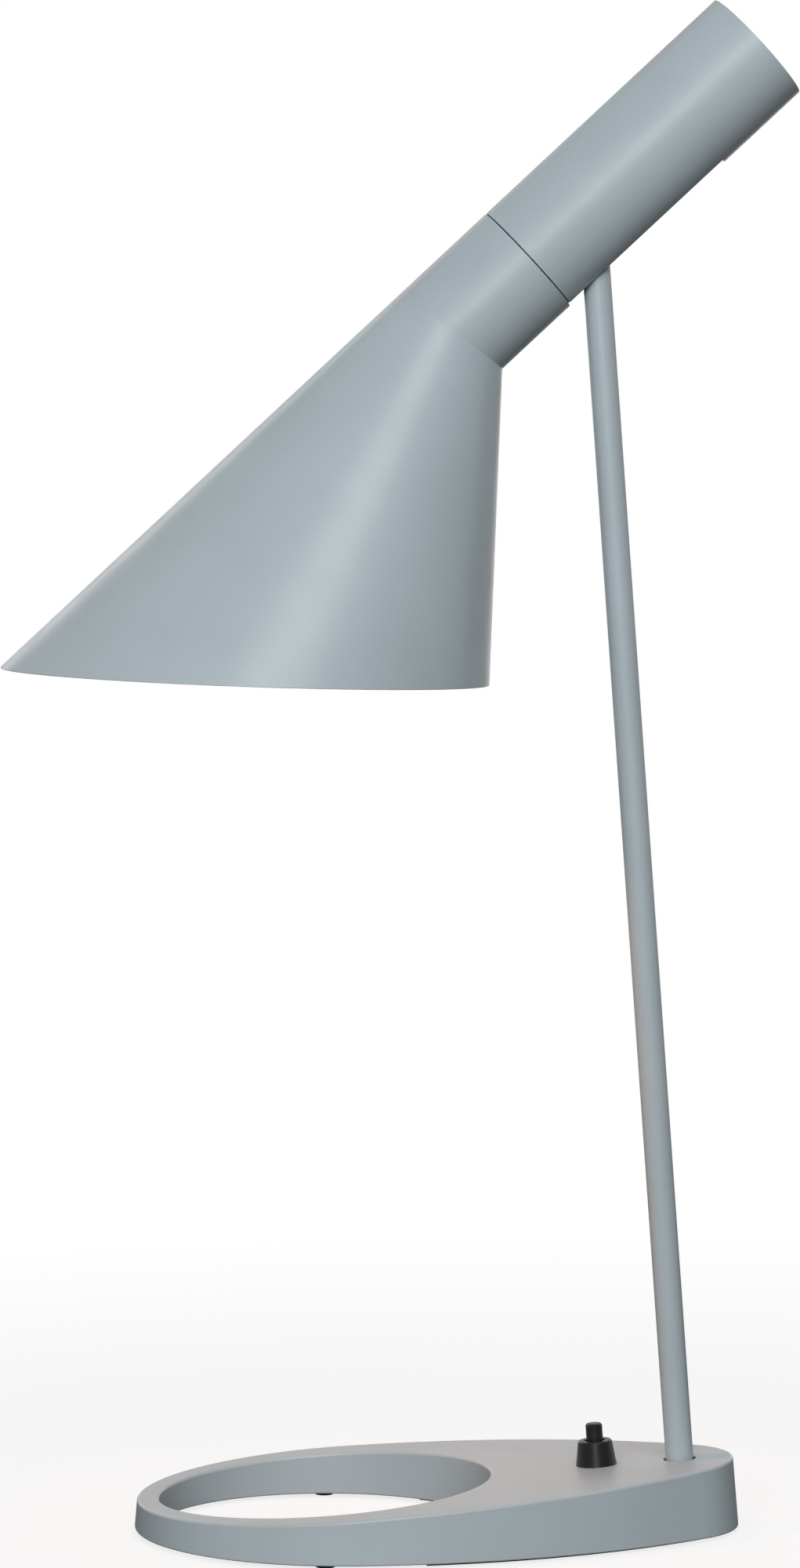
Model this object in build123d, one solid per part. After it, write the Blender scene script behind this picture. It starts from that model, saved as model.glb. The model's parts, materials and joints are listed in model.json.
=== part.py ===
"""Desk lamp: a cast base with a large round hole, a leaning tube stem, and a tube
head with an obliquely cut cone shade that tilts on a pivot at the stem's top.

The origin is on the desk plane, where the stem's axis meets it. +X points to the
rear of the base, +Z is up, and the lamp is symmetric about Y = 0 outside.
"""
from build123d import *
from math import cos, radians, sin, sqrt, tan
import os

# Base casting: a three-arc oval, drafted, with a sloping top face and a round hole
base_length = 218.7
big_end_radius = 75.5
small_end_radius = 35.5
side_radius = 216.0
draft_angle = 4.74
stem_to_rear = 19.5          # from the stem's axis on the desk to the casting's rear end
casting_lift = 1.5           # casting's lower edge above the desk
deck_slope = 3.96
deck_height = 16.6           # sloping top face above the desk, at the hole's centre
hole_radius = 60.0
hole_to_front = 68.8
top_edge_radius = 1.0
foot_edge_radius = 0.6

# Hollow under the rear of the casting, closed by a plate in a rebate
plate_margin = 6.0           # plate's edge inside the casting's edge and outside the hole
plate_clearance = 0.3
rebate_depth = 1.0
rim_width = 4.0              # ledge between the hollow and the plate's edge
plate_front_to_hole = 35.5   # plate's front edge behind the hole's centre
front_rim_width = 14.0
deck_thickness = 5.0

# Plate fixing screws: two in the ring's arms, two in the rear corners
plate_screw_radius = 1.5
plate_head_radius = 2.9
plate_screw_length = 9.0
front_screw_angle = 54.0     # about the hole's centre
front_screw_inset = 11.1     # outside the hole
rear_screw_angle = 80.0
rear_screw_reach = 29.0
plate_boss_radius = 5.0
plate_screw_end_gap = 0.5
recess_length = 3.0          # cross recess in the screw's head
recess_width = 0.8
recess_depth = 0.9
thread_clearance = 0.05

# Small feet under the ring
ring_foot_radius = 3.5
ring_foot_socket = 1.0
ring_foot_edge = 0.4

# Stem
stem_lean = 4.15
stem_radius = 5.0
stem_wall = 1.0
stem_hole_radius = 6.0
pivot_height = 478.9
stem_top_gap = 18.0          # from the pivot down to the end of the tube

# Stem foot: a flange held in the casting's boss by a ring nut
foot_shoulder_depth = 7.5    # below the sloping top face, along the stem
foot_flange_radius = 10.4
foot_flange_thickness = 3.0
ring_nut_radius = 10.4
ring_nut_thickness = 3.5
ring_nut_bore = 5.4
ring_nut_notch = 2.4
boss_radius = 14.5
foot_fit = 0.1
braze_gap = 0.03

# Stem eye, the flat tongue at the stem's top
eye_thickness = 3.0
eye_plug_length = 18.0
eye_head_radius = 6.5
eye_neck_width = 9.6

# Pivot
pivot_radius = 2.5
pivot_play = 0.05
pivot_side_play = 0.05
friction_washer_radius = 6.5
friction_washer_thickness = 0.8
cheek_thickness = 1.5
cheek_width = 14.0
cheek_drop = 7.0             # cheek below the pivot's axis
bolt_head_radius = 4.5
bolt_head_height = 3.0
bolt_socket_flats = 3.4
bolt_overrun = 1.0           # bolt's end beyond the nut
nut_height = 3.6
nut_across_flats = 8.0
wave_washer_thickness = 0.9
wave_washer_radius = 5.0

# Head: neck and cone in one shell, and a slotted tube behind it
head_angle = 42.9            # tube's axis above the horizontal
head_radius = 22.2
head_length = 349.2
shade_wall = 0.8
tube_wall = 1.0
seam_to_pivot = 31.05
seam_gap = 0.4
tube_length = 111.6          # from the seam to the rear end
cone_half_angle = 22.4
apex_to_seam = 11.7          # cone's apex behind the seam, on the top line
rim_angle = 45.0             # rim plane to the tube's axis
slot_width = 13.0
slot_length = 75.5
slot_corner_radius = 1.0

# Sleeve that joins shade and tube inside
sleeve_fit = 0.1
sleeve_wall = 2.2
sleeve_front = 16.0          # reach into the neck
sleeve_rear = 46.0           # reach into the tube
sleeve_slot_margin = 0.8

# Pivot bracket and its rivets
bracket_gap = 0.1
bracket_tab_length = 11.0
rivet_radius = 1.5
rivet_head_radius = 2.2
rivet_head_height = 1.0
rivet_pitch = 6.0
rivet_clearance = 0.05
rivet_end_gap = 0.15         # rivet's outer end inside the sleeve's surface

# End cap and the tie screw that pulls tube, sleeve and cap together
cap_recess = 1.6
cap_thickness = 1.5
cap_skirt = 8.0
cap_clearance = 0.1
vent_count = 14
vent_width = 2.4
vent_inner = 8.0
vent_outer = 15.5
tie_screw_radius = 2.0
tie_screw_offset = 11.0      # above the tube's axis
tie_head_radius = 3.6
tie_head_height = 2.2
tie_head_edge = 0.6
tie_socket_flats = 2.5
tie_socket_floor = 0.8       # socket's floor above the cap
tie_pad_margin = 1.2         # pad round the head
tie_screw_overrun = 3.0

# Lampholder, on a nipple through a plate in the sleeve
holder_plate_gap = 5.0       # plate's rear face in front of the seam
holder_plate_thickness = 1.5
holder_plate_skirt = 7.0
holder_plate_clearance = 0.1
air_hole_radius = 3.0
air_hole_pitch = 13.0
air_hole_count = 6
nipple_radius = 5.0
nipple_bore = 4.0
nipple_length = 13.0
nipple_overrun = 1.0         # nipple's end behind its nut
nipple_nut_height = 3.0
nipple_nut_flats = 14.0
holder_radius = 12.5
holder_wall = 1.6
holder_body_length = 24.0
holder_skirt_length = 27.0
holder_skirt_wall = 1.6
holder_edge_radius = 2.0
holder_ring_width = 2.0      # raised ring at the joint
holder_ring_length = 4.0
core_thickness = 8.0
core_clearance = 0.2
core_web = 2.0               # ceramic left in front of the wires
wire_hole_clearance = 0.2
contact_length = 11.8
contact_width = 4.0
contact_thickness = 0.5
shell_radius = 7.4
shell_wall = 0.4
shell_length = 20.0

# Candle lamp
lamp_cap_radius = 6.7
lamp_cap_length = 21.0
lamp_cap_edge = 1.5
lamp_tip_radius = 2.4
lamp_tip_height = 1.6
glass_neck_radius = 6.9
glass_radius = 17.5
glass_length = 77.0
glass_bulge = 31.0           # from the cap to the widest place
glass_tip_radius = 1.2
glass_wall = 0.8
glass_neck_slope = (0.35, -1)
glass_tip_slope = (-1.0, -0.55)

# Push switch through the sloping top face
switch_x = -32.0
switch_hole_radius = 5.2
bush_radius = 5.0
bush_height = 6.8
switch_body_width = 13.0
switch_body_corner = 1.0
switch_body_height = 9.0
lock_washer_thickness = 0.6
lock_washer_radius = 7.0
lock_washer_clearance = 0.1
collar_radius = 7.4
collar_top_radius = 6.15
collar_height = 9.0
collar_edge = 0.4
collar_clearance = 0.05
button_radius = 3.0
button_height = 15.1         # above the sloping top face
button_chamfer = 0.5
button_travel = 2.5
button_play = 0.06
button_flange_radius = 3.9
button_flange_thickness = 1.5
chamber_radius = 4.2
chamber_roof = 3.0           # chamber's roof below the top face
switch_floor = 1.2
spring_radius = 3.2
spring_wire = 0.5
spring_turns = 5
spring_end_gap = 0.025
tag_width = 3.0
tag_thickness = 0.5
tag_length = 2.6
tag_spacing = 9.6

# Terminal block on the hollow's ceiling
block_to_switch = 21.0       # beside the switch
block_length = 13.0
block_width = 18.0
block_height = 9.5
block_corner = 0.8
block_hole_radius = 1.6
block_pitch = 8.0
block_screw_radius = 1.25
block_screw_length = 12.2
block_screw_end_gap = 0.3
block_head_radius = 2.3
block_head_height = 1.6
clamp_screw_radius = 1.3
clamp_screw_length = 3.0

# Cable inlet: a bush in the rear wall
inlet_angle = 35.0
inlet_height = 7.8
inlet_bore = 2.9
inlet_bush_radius = 4.0
inlet_clearance = 0.1
inlet_flange_radius = 4.9
inlet_flange_thickness = 1.4
inlet_setback = 1.0

# Insulated wires inside
wire_radius = 0.9
wire_offset = 2.6            # each side of the middle plane, in the stem and head
wire_height = 4.6            # run above the desk, under the switch
wire_insertion = 4.0         # stripped end inside the terminal block
wire_fold = 3.9              # straight end out of the stem before the turn to the holder
wire_longest_bend = 12.0     # run length that a bend may use at most
wire_bend_share = 0.45       # part of a run that a bend uses
wire_joint_gap = 0.2
lead_exit = 3.5              # straight run out of the terminal block
tag_exit = 5.0               # straight run off the live tag
switch_loop = 9.0            # loop of the switch lead behind the switch
switch_loop_width = 11.0
switch_loop_rise = 1.0
switch_loop_return = 7.5
holder_wire_rise = 8.0       # pivot leads' rise over the pivot
holder_wire_forward = 4.0
holder_wire_insertion = 2.2

# Places that follow from the sizes above
base_rear_x = stem_to_rear
base_front_x = base_rear_x - base_length
big_end_x = base_front_x + big_end_radius
small_end_x = base_rear_x - small_end_radius
hole_x = base_front_x + hole_to_front
casting_wall = plate_margin + rim_width
plate_front_x = hole_x + plate_front_to_hole
ring_foot_y = (hole_radius + big_end_radius) / 2
plate_top = casting_lift + rebate_depth

slope = tan(radians(deck_slope))
lean = radians(stem_lean)
deck_on_stem = (deck_height - hole_x * slope) / (cos(lean) + sin(lean) * slope)
pivot_on_stem = pivot_height / cos(lean)
pivot_x = -pivot_on_stem * sin(lean)
stem_top = pivot_on_stem - stem_top_gap
foot_shoulder = deck_on_stem - foot_shoulder_depth
stem_bottom = foot_shoulder - foot_flange_thickness
boss_bottom = stem_bottom - ring_nut_thickness

tilt = radians(head_angle)
seam_z = -seam_to_pivot
tube_end_z = seam_z + tube_length
tip_z = tube_end_z - head_length
apex_z = seam_z + apex_to_seam
sleeve_radius = head_radius - max(tube_wall, shade_wall) - sleeve_fit
sleeve_bore = sleeve_radius - sleeve_wall
sleeve_rear_z = seam_z + sleeve_rear
cheek_inside = eye_thickness / 2 + friction_washer_thickness + pivot_side_play
cheek_outside = cheek_inside + cheek_thickness
bracket_top = sqrt(sleeve_bore ** 2 - cheek_outside ** 2) - bracket_gap
tab_z = cheek_width / 2
holder_rear_z = seam_z - holder_plate_gap - holder_plate_thickness
holder_joint_z = holder_rear_z - holder_body_length
holder_mouth_z = holder_joint_z - holder_skirt_length
core_front_z = holder_joint_z - contact_thickness
lamp_contact_z = core_front_z - contact_thickness
lamp_cap_z = lamp_contact_z - lamp_tip_height

desk_frame = Plane((0, 0, 0), x_dir=(cos(lean), 0, sin(lean)), z_dir=(-sin(lean), 0, cos(lean)))
pivot_point = (pivot_x, 0, pivot_height)
head_frame = Plane(pivot_point, x_dir=(-sin(tilt), 0, cos(tilt)), z_dir=(cos(tilt), 0, sin(tilt)))


def deck_z(x):
    """Height of the sloping top face above the desk."""
    return deck_height + (x - hole_x) * slope


def deck_frame(x, y=0.0):
    """Frame on the top face at x and y, with its z square to that face."""
    turn = radians(deck_slope)
    return Plane((x, y, deck_z(x)), x_dir=(cos(turn), 0, sin(turn)), z_dir=(-sin(turn), 0, cos(turn)))


def block_frame():
    """Frame on the top face above the terminal block's middle."""
    return deck_frame(switch_x, block_to_switch)


def rod(radius, low, high, x=0.0, y=0.0):
    """Upright cylinder between two heights."""
    return Pos(x, y, low) * Cylinder(radius, high - low, align=(Align.CENTER, Align.CENTER, Align.MIN))


def pipe(outer, inner, low, high):
    """Upright tube between two heights."""
    return rod(outer, low, high) - rod(inner, low, high)


def block(length, width, low, high, x=0.0, y=0.0):
    """Upright box between two heights."""
    return Pos(x, y, low) * Box(length, width, high - low, align=(Align.CENTER, Align.CENTER, Align.MIN))


def hexagon(flats, low, high):
    """Upright hexagonal bar between two heights."""
    return Pos(0, 0, low) * extrude(RegularPolygon(flats / 2, 6, major_radius=False), high - low)


def save(shape, node):
    """Write one sub-part."""
    export_step(shape, f"parts/{node}.step")


def oval(inset):
    """Three-arc oval of the base, with its outline moved in by inset."""
    big = big_end_radius - inset
    small = small_end_radius - inset
    side = side_radius - inset
    span = small_end_x - big_end_x
    to_big = side - big
    to_small = side - small
    along = (to_big ** 2 - to_small ** 2 + span ** 2) / (2 * span)
    side_centre = Vector(big_end_x + along, -sqrt(to_big ** 2 - along ** 2))
    big_centre = Vector(big_end_x, 0)
    small_centre = Vector(small_end_x, 0)
    big_joint = big_centre + (big_centre - side_centre).normalized() * big
    small_joint = small_centre + (small_centre - side_centre).normalized() * small
    middle = ((big_joint + small_joint) / 2 - side_centre).normalized() * side + side_centre

    def mirrored(point):
        return Vector(point.X, -point.Y)

    outline = [
        ThreePointArc(big_joint, (big_end_x - big, 0), mirrored(big_joint)),
        ThreePointArc(mirrored(big_joint), mirrored(middle), mirrored(small_joint)),
        ThreePointArc(mirrored(small_joint), (small_end_x + small, 0), small_joint),
        ThreePointArc(small_joint, middle, big_joint),
    ]
    return make_face(outline)


def underside(margin, front_x):
    """Plan of the rear part, a margin inside the oval and outside the hole, behind front_x."""
    behind = Pos(front_x, 0) * Rectangle(base_length, base_length, align=(Align.MIN, Align.CENTER))
    return (oval(margin) - Pos(hole_x, 0) * Circle(hole_radius + margin)) & behind


def plate_screw_places():
    """Plan positions of the four plate screws."""
    corners = [
        (hole_x, hole_radius + front_screw_inset, radians(front_screw_angle)),
        (small_end_x, rear_screw_reach, radians(rear_screw_angle)),
    ]
    return [
        (x + reach * cos(turn), side * reach * sin(turn))
        for x, reach, turn in corners for side in (-1, 1)
    ]


def inlet_frame():
    """Frame on the axis of the oval's rear arc, with z out through the rear wall."""
    turn = radians(inlet_angle)
    return Plane((small_end_x, 0, inlet_height), x_dir=(0, 0, 1), z_dir=(cos(turn), sin(turn), 0))


def base_casting():
    top_face = deck_frame(hole_x)
    tall = deck_z(base_rear_x) * 2
    body = extrude(Pos(0, 0, casting_lift) * oval(0), tall, taper=draft_angle)
    body = split(body, bisect_by=top_face, keep=Keep.BOTTOM)
    body -= rod(hole_radius, 0, tall, x=hole_x)
    top_edges = [e for e in body.edges() if abs(top_face.to_local_coords(e @ 0.3).Z) < 0.001]
    body = fillet(top_edges, top_edge_radius)
    foot_edges = [e for e in body.edges() if abs((e @ 0.3).Z - casting_lift) < 0.001]
    body = fillet(foot_edges, foot_edge_radius)

    ceiling = deck_frame(hole_x).offset(-deck_thickness)
    hollow = extrude(underside(casting_wall, plate_front_x + front_rim_width), tall)
    for x, y in plate_screw_places():
        hollow -= rod(plate_boss_radius, 0, tall, x, y)
    hollow -= desk_frame * rod(boss_radius, boss_bottom, tall)
    body -= split(hollow, bisect_by=ceiling, keep=Keep.BOTTOM)
    rebate = underside(plate_margin - plate_clearance, plate_front_x - plate_clearance)
    body -= extrude(rebate, plate_top)

    for x, y in plate_screw_places():
        top = plate_top + plate_screw_length
        body -= rod(plate_screw_radius + thread_clearance, 0, top, x, y)
    for side in (-1, 1):
        foot_top = casting_lift + ring_foot_socket
        body -= rod(ring_foot_radius + foot_fit, 0, foot_top, hole_x, side * ring_foot_y)

    body -= desk_frame * rod(stem_hole_radius, 0, tall)
    body -= desk_frame * rod(foot_flange_radius + foot_fit, 0, foot_shoulder)
    body -= deck_frame(switch_x) * rod(switch_hole_radius, -tall, tall)
    body -= inlet_frame() * rod(inlet_bush_radius + inlet_clearance, inlet_seat(), small_end_radius * 2)
    pocket_end = inlet_seat() - inlet_flange_thickness * 2
    pocket = rod(inlet_flange_radius + inlet_clearance, pocket_end, inlet_seat())
    body -= inlet_frame() * pocket
    screw_top = -deck_thickness - block_height + block_screw_length + block_screw_end_gap
    body -= block_frame() * rod(block_screw_radius + thread_clearance, -tall, screw_top)
    return body


def inlet_seat():
    """Distance of the inlet bush's flat seat from the rear arc's axis."""
    return small_end_radius - casting_wall + inlet_setback


def cable_inlet_bush():
    outer_end = small_end_radius - (inlet_height - casting_lift) * tan(radians(draft_angle)) - inlet_setback
    bush = rod(inlet_bush_radius, inlet_seat(), outer_end)
    bush += rod(inlet_flange_radius, inlet_seat() - inlet_flange_thickness, inlet_seat())
    bush -= rod(inlet_bore, 0, small_end_radius)
    return inlet_frame() * bush


def bottom_plate():
    plate = extrude(underside(plate_margin, plate_front_x), plate_top)
    for x, y in plate_screw_places():
        plate -= plate_screw_cut(x, y, thread_clearance)
    return plate


def plate_screw_cut(x, y, clearance):
    """Countersunk screw shape, head down, grown by clearance."""
    head = plate_head_radius - plate_screw_radius
    cone = Pos(x, y, 0) * Cone(
        plate_head_radius + clearance, plate_screw_radius + clearance, head,
        align=(Align.CENTER, Align.CENTER, Align.MIN),
    )
    end = plate_top + plate_screw_length - plate_screw_end_gap
    return cone + rod(plate_screw_radius + clearance, 0, end, x, y)


def plate_screws():
    screws = []
    for x, y in plate_screw_places():
        screw = plate_screw_cut(x, y, 0)
        for turn in (0, 90):
            screw -= Pos(x, y, 0) * Rot(0, 0, turn) * block(recess_length, recess_width, 0, recess_depth)
        screws.append(screw)
    return Compound(children=screws)


def ring_feet():
    top = casting_lift + ring_foot_socket
    feet = [rod(ring_foot_radius, 0, top, hole_x, side * ring_foot_y) for side in (-1, 1)]
    return Compound(children=[fillet(foot.edges().group_by(Axis.Z)[0], ring_foot_edge) for foot in feet])


def stem_tube():
    tube = pipe(stem_radius, stem_radius - stem_wall, stem_bottom, stem_top)
    return desk_frame * tube


def stem_foot():
    flange = pipe(foot_flange_radius, stem_radius + braze_gap, stem_bottom, foot_shoulder)
    return desk_frame * flange


def stem_ring_nut():
    nut = pipe(ring_nut_radius, ring_nut_bore, boss_bottom, stem_bottom)
    nut -= block(ring_nut_radius * 3, ring_nut_notch, boss_bottom, boss_bottom + ring_nut_notch / 2)
    return desk_frame * nut


def stem_eye():
    low = stem_top - eye_plug_length
    plug = rod(stem_radius - stem_wall - braze_gap, low, stem_top)
    neck = block(eye_neck_width, eye_thickness, stem_top, pivot_on_stem)
    across = Rot(90, 0, 0) * rod(eye_head_radius, -eye_thickness / 2, eye_thickness / 2)
    hole = Rot(90, 0, 0) * rod(pivot_radius, -eye_thickness, eye_thickness)
    eye = (plug & block(stem_radius * 2, eye_thickness, low, stem_top)) + neck
    eye += Pos(0, 0, pivot_on_stem) * across
    return desk_frame * (eye - Pos(0, 0, pivot_on_stem) * hole)


def on_pivot(shape):
    """Place a shape made along z onto the pivot's axis, in the head's frame."""
    return head_frame * Rot(90, 0, 0) * shape


def pivot_bolt():
    head_face = cheek_outside
    end = -cheek_outside - wave_washer_thickness - nut_height - bolt_overrun
    bolt = rod(pivot_radius - pivot_play, end, head_face)
    bolt += rod(bolt_head_radius, head_face, head_face + bolt_head_height)
    bolt -= hexagon(bolt_socket_flats, head_face + bolt_head_height / 2, head_face + bolt_head_height)
    return on_pivot(bolt)


def pivot_nut():
    high = -cheek_outside - wave_washer_thickness
    nut = hexagon(nut_across_flats, high - nut_height, high)
    return on_pivot(nut - rod(pivot_radius, high - nut_height, high))


def wave_washer():
    high = -cheek_outside
    washer = pipe(wave_washer_radius, pivot_radius + pivot_play, high - wave_washer_thickness, high)
    return on_pivot(washer)


def friction_washers():
    inner = eye_thickness / 2 + pivot_side_play
    washers = []
    for side in (-1, 1):
        faces = sorted((side * inner, side * cheek_inside))
        washers.append(on_pivot(pipe(friction_washer_radius, pivot_radius + pivot_play, *faces)))
    return Compound(children=washers)


def rivet_places():
    return [-rivet_pitch / 2, rivet_pitch / 2]


def pivot_bracket():
    height = bracket_top + cheek_drop
    cheek = Pos(bracket_top - height / 2, 0, 0) * Box(height, cheek_thickness, cheek_width)
    cheek_y = (cheek_inside + cheek_outside) / 2
    bracket = Pos(0, cheek_y, 0) * cheek + Pos(0, -cheek_y, 0) * cheek
    web = Box(cheek_thickness, cheek_outside * 2, cheek_width)
    bracket += Pos(bracket_top - cheek_thickness / 2, 0, 0) * web
    tab = Box(bracket_tab_length, cheek_outside * 2, cheek_thickness)
    bracket += Pos(bracket_top - bracket_tab_length / 2, 0, tab_z - cheek_thickness / 2) * tab
    bracket -= Rot(90, 0, 0) * rod(pivot_radius, -cheek_outside * 2, cheek_outside * 2)
    bracket -= rod(tie_screw_radius + thread_clearance, 0, tab_z * 2, x=tie_screw_offset)
    for z in rivet_places():
        bracket -= Pos(0, 0, z) * Rot(0, 90, 0) * rod(rivet_radius + rivet_clearance, 0, head_radius)
    return head_frame * bracket


def bracket_rivets():
    rivets = []
    inside = bracket_top - cheek_thickness
    for z in rivet_places():
        rivet = rod(rivet_radius, inside, sleeve_radius - rivet_end_gap)
        rivet += rod(rivet_head_radius, inside - rivet_head_height, inside)
        rivets.append(head_frame * Pos(0, 0, z) * Rot(0, 90, 0) * rivet)
    return Compound(children=rivets)


def head_sleeve():
    front = seam_z - sleeve_front
    sleeve = pipe(sleeve_radius, sleeve_bore, front, sleeve_rear_z)
    slot = slot_width + sleeve_slot_margin * 2
    cut = Box(
        head_radius, slot, sleeve_rear_z - seam_z + 1,
        align=(Align.MAX, Align.CENTER, Align.MIN),
    )
    sleeve -= Pos(0, 0, seam_z) * cut
    for z in rivet_places():
        sleeve -= Pos(0, 0, z) * Rot(0, 90, 0) * rod(rivet_radius + rivet_clearance, 0, head_radius)
    return head_frame * sleeve


def head_form(radius, cone_tip_z):
    """Solid neck and cone: a cylinder about z, and a cone that shares its top line."""
    half = radians(cone_half_angle)
    reach = cone_tip_z - tip_z
    top = (radius, cone_tip_z - radius / tan(half))
    low = (-radius, cone_tip_z - radius * (1 - tan(half) ** 2) / tan(half))
    along = Vector(low[0] - top[0], 0, low[1] - top[1]).normalized()
    crease = Plane((top[0], 0, top[1]), x_dir=(0, 1, 0), z_dir=(-along.Z, 0, along.X))
    cone_frame = Plane((radius, 0, cone_tip_z), x_dir=(0, 1, 0), z_dir=(-sin(half), 0, -cos(half)))
    height = reach * 1.2
    cone = cone_frame * Cone(0, height * tan(half), height, align=(Align.CENTER, Align.CENTER, Align.MIN))
    neck = rod(radius, tip_z, seam_z)
    pieces = [split(neck, bisect_by=crease, keep=Keep.BOTH), split(cone, bisect_by=crease, keep=Keep.BOTH)]
    rear = max(pieces[0].solids(), key=lambda s: s.center().Z)
    front = min(pieces[1].solids(), key=lambda s: s.center().Z)
    return rear + front


def shade():
    wall = shade_wall
    outside = head_form(head_radius, apex_z)
    inside = head_form(head_radius - wall, apex_z - wall / tan(radians(cone_half_angle)))
    shell = outside - inside
    turn = radians(rim_angle)
    rim = Plane((head_radius, 0, tip_z), x_dir=(0, 1, 0), z_dir=(-cos(turn), 0, -sin(turn)))
    shell = split(shell, bisect_by=rim, keep=Keep.BOTTOM)
    return head_frame * shell


def rear_tube():
    tube = pipe(head_radius, head_radius - tube_wall, seam_z + seam_gap, tube_end_z)
    slot = Rectangle(slot_length * 2, slot_width)
    slot = fillet(slot.vertices(), slot_corner_radius)
    cut = extrude(slot, head_radius * 2)
    tube -= Pos(0, 0, seam_z) * Rot(0, -90, 0) * cut
    return head_frame * tube


def cap_face_z():
    return tube_end_z - cap_recess


def end_cap():
    radius = head_radius - tube_wall - cap_clearance
    face = cap_face_z()
    cap = rod(radius, face - cap_skirt, face)
    cap -= rod(radius - cap_thickness, face - cap_skirt, face - cap_thickness)
    vent = Pos((vent_inner + vent_outer) / 2, 0, 0) * SlotOverall(vent_outer - vent_inner, vent_width)
    cutter = Pos(0, 0, face - cap_thickness * 2) * extrude(vent, cap_thickness * 3)
    for place in PolarLocations(0, vent_count):
        cap -= place * cutter
    return cap


def tie_boss():
    """Pad on the cap that carries the tie screw's head."""
    face = cap_face_z()
    return rod(tie_head_radius + tie_pad_margin, face - cap_thickness, face, x=tie_screw_offset)


def vented_cap():
    cap = end_cap() + tie_boss()
    cap -= rod(tie_screw_radius + thread_clearance, 0, tube_end_z, x=tie_screw_offset)
    return head_frame * cap


def tie_screw():
    low = tab_z - cheek_thickness - tie_screw_overrun
    face = cap_face_z()
    screw = rod(tie_screw_radius, low, face, x=tie_screw_offset)
    head = rod(tie_head_radius, face, face + tie_head_height, x=tie_screw_offset)
    head = fillet(head.edges().group_by(Axis.Z)[-1], tie_head_edge)
    screw += head
    socket = hexagon(tie_socket_flats, face + tie_socket_floor, face + tie_head_height)
    screw -= Pos(tie_screw_offset, 0, 0) * socket
    return head_frame * screw


def holder_plate():
    rear = seam_z - holder_plate_gap
    radius = sleeve_bore - holder_plate_clearance
    plate = rod(radius, rear - holder_plate_skirt, rear)
    plate -= rod(radius - holder_plate_thickness, rear - holder_plate_skirt, rear - holder_plate_thickness)
    plate -= rod(nipple_radius + thread_clearance, rear - holder_plate_skirt, rear)
    for place in PolarLocations(air_hole_pitch, air_hole_count):
        plate -= place * rod(air_hole_radius, rear - holder_plate_skirt, rear)
    return head_frame * plate


def holder_nipple():
    rear = nipple_rear_z()
    return head_frame * pipe(nipple_radius, nipple_bore, rear - nipple_length, rear)


def nipple_nut():
    low = seam_z - holder_plate_gap
    nut = hexagon(nipple_nut_flats, low, low + nipple_nut_height)
    return head_frame * (nut - rod(nipple_radius + thread_clearance, low, low + nipple_nut_height))


def holder_body():
    body = rod(holder_radius, holder_joint_z, holder_rear_z)
    body = fillet(body.edges().group_by(Axis.Z)[-1], holder_edge_radius)
    body -= rod(holder_radius - holder_wall, holder_joint_z, holder_rear_z - holder_wall * 2)
    body -= rod(nipple_radius + thread_clearance, holder_joint_z, holder_rear_z)
    return head_frame * body


def holder_skirt():
    bore = holder_radius - holder_skirt_wall
    ring_z = holder_joint_z - holder_ring_length
    skirt = pipe(holder_radius, bore, holder_mouth_z, holder_joint_z)
    skirt += pipe(holder_radius + holder_ring_width, bore, ring_z, holder_joint_z)
    return head_frame * skirt


def holder_core():
    radius = holder_radius - holder_wall - core_clearance
    rear = holder_joint_z + core_thickness
    core = rod(radius, holder_joint_z, rear)
    for side in (-1, 1):
        core -= rod(wire_radius + wire_hole_clearance, holder_joint_z + core_web, rear, y=side * wire_offset)
    return head_frame * core


def centre_contact():
    strip = Pos(0, 0, holder_joint_z - contact_thickness) * Box(
        contact_length, contact_width, contact_thickness,
        align=(Align.CENTER, Align.CENTER, Align.MIN),
    )
    return head_frame * strip


def screw_shell():
    low = holder_joint_z - shell_length
    shell = pipe(shell_radius + shell_wall, shell_radius, low, holder_joint_z)
    shell += pipe(holder_radius - holder_skirt_wall - core_clearance, shell_radius, low, low + shell_wall)
    return head_frame * shell


def lamp_cap():
    cap = rod(lamp_cap_radius, lamp_cap_z - lamp_cap_length, lamp_cap_z)
    cap = fillet(cap.edges().group_by(Axis.Z)[-1], lamp_cap_edge)
    cap += rod(lamp_tip_radius, lamp_cap_z, lamp_contact_z)
    return head_frame * cap


def glass_form(inset):
    """Candle-shaped body of revolution, with its surface moved in by inset."""
    top = lamp_cap_z - lamp_cap_length
    tip = top - glass_length + inset
    profile = make_face([
        Line((0, top), (glass_neck_radius - inset, top)),
        Spline(
            (glass_neck_radius - inset, top),
            (glass_radius - inset, top - glass_bulge),
            (glass_tip_radius, tip),
            tangents=[glass_neck_slope, glass_tip_slope],
        ),
        Line((glass_tip_radius, tip), (0, tip)),
        Line((0, tip), (0, top)),
    ])
    return revolve(Plane.XZ * profile, Axis.Z)


def lamp_glass():
    return head_frame * (glass_form(0) - glass_form(glass_wall))


def switch_body():
    top = -deck_thickness - lock_washer_thickness
    low = top - switch_body_height
    body = block(switch_body_width, switch_body_width, low, top)
    body = fillet(body.edges().filter_by(Axis.Z), switch_body_corner)
    body += rod(bush_radius, top, bush_height)
    body -= rod(chamber_radius, low + switch_floor, -chamber_roof)
    body -= rod(button_radius + button_play, -chamber_roof, bush_height)
    return deck_frame(switch_x) * body


def switch_tags():
    low = -deck_thickness - lock_washer_thickness - switch_body_height
    tags = []
    for side in (-1, 1):
        tag = block(tag_width, tag_thickness, low - tag_length, low, y=side * tag_spacing / 2)
        tags.append(deck_frame(switch_x) * tag)
    return Compound(children=tags)


def switch_lock_washer():
    top = -deck_thickness
    bore = bush_radius + lock_washer_clearance
    return deck_frame(switch_x) * pipe(lock_washer_radius, bore, top - lock_washer_thickness, top)


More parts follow.
